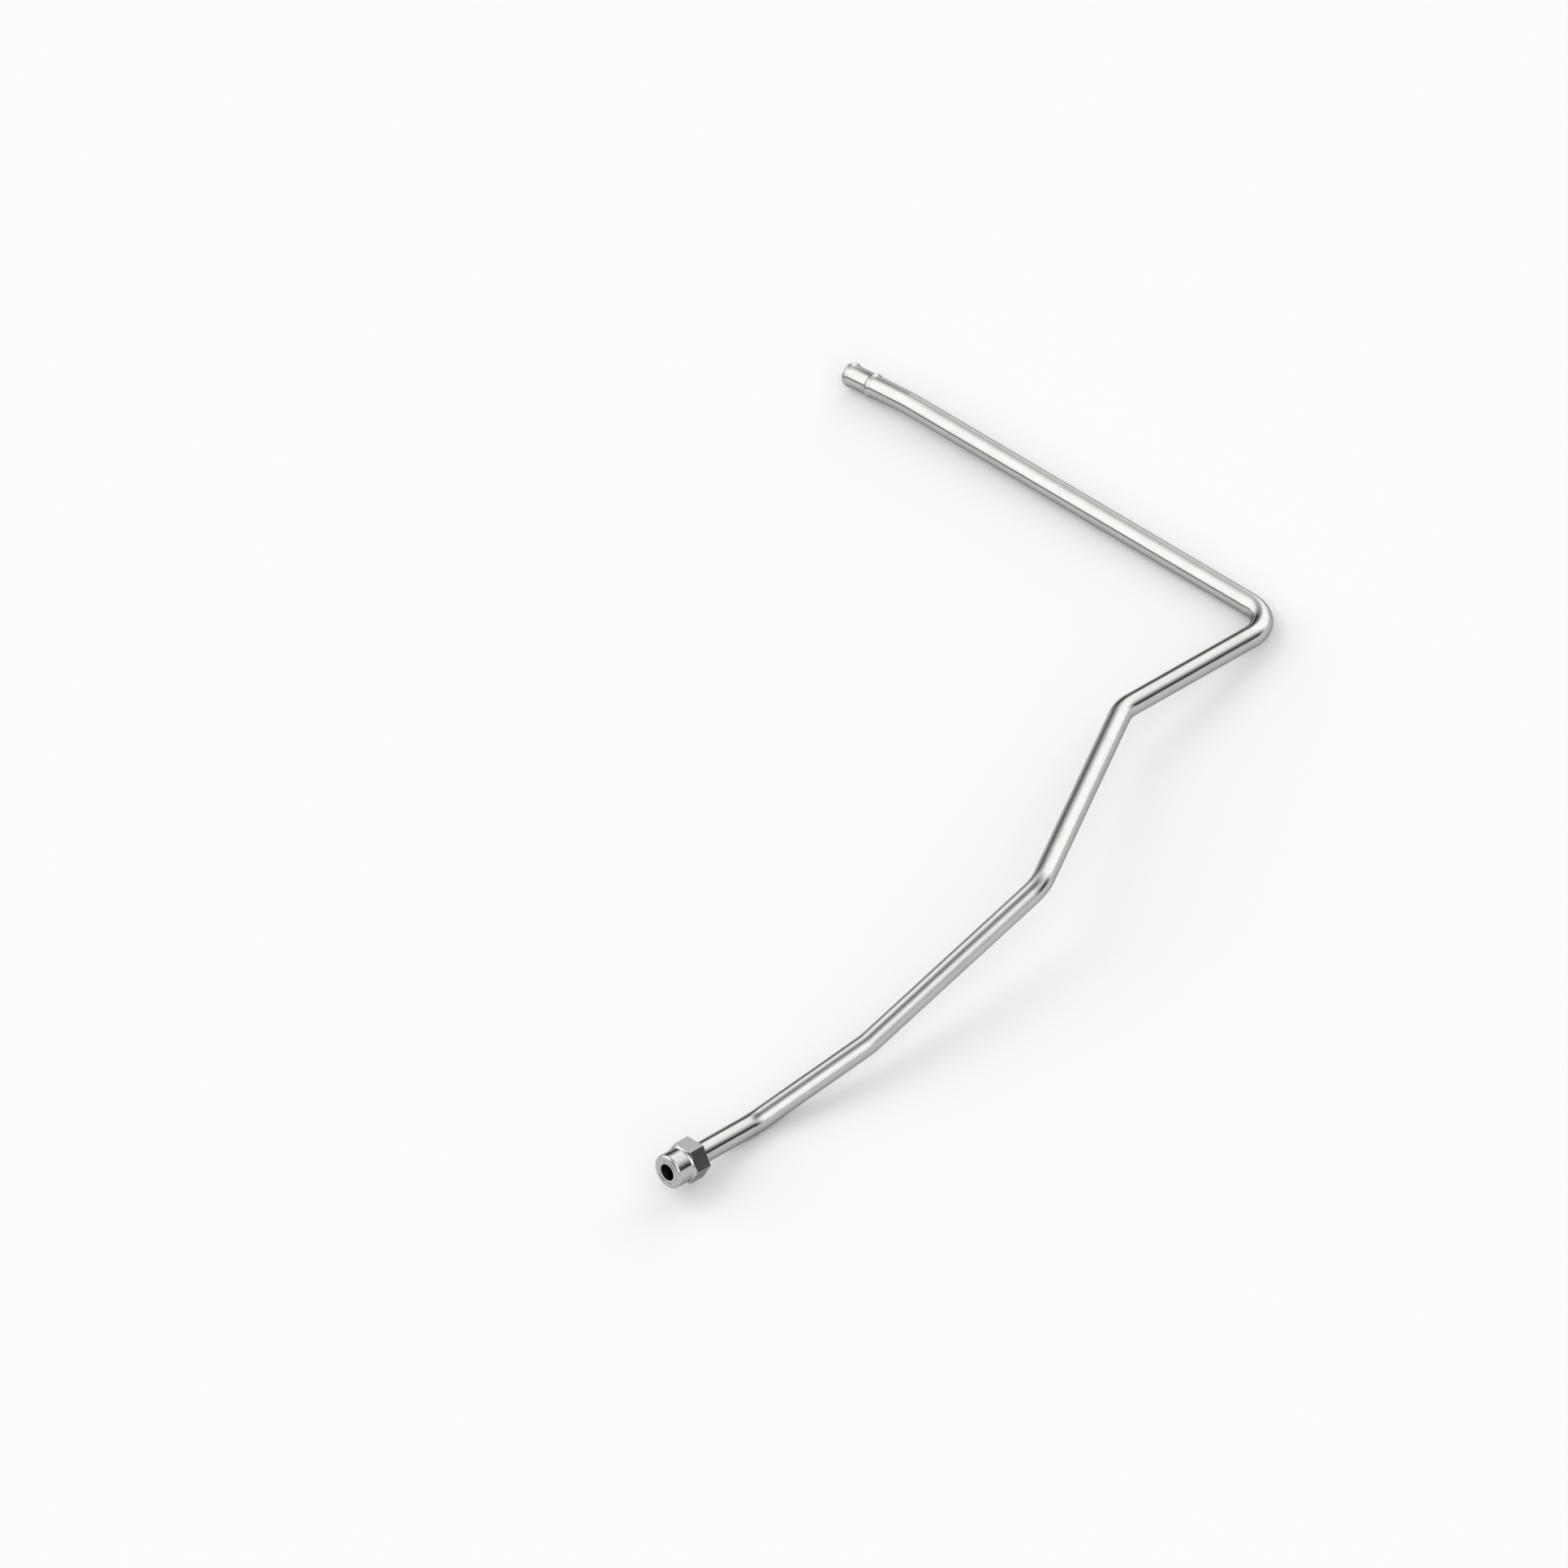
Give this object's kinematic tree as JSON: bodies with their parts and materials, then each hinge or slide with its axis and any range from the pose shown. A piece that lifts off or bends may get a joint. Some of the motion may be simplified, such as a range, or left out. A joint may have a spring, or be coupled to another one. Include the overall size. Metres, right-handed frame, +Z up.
{
  "type": "coolant return line",
  "caption": "Bent stainless tube for returning engine coolant, with a beaded hose end and a turned hexagon connector with a flat sealing face.",
  "frame": {"origin": "middle of the bounding box's bottom, on the floor that the line lies on", "axes": "+Z up from the floor, +X nearly along the long run away from the hose end, and the connector faces nearly -Y"},
  "size_m": [0.525, 0.6744, 0.0633],
  "materials": {
    "tube_steel": "bright drawn stainless, satin to polished",
    "connector_steel": "turned and milled stainless, bright"
  },
  "bodies": {
    "root": {"bent_tube": "tube_steel", "face_seal_connector": "connector_steel"}
  },
  "joints": []
}
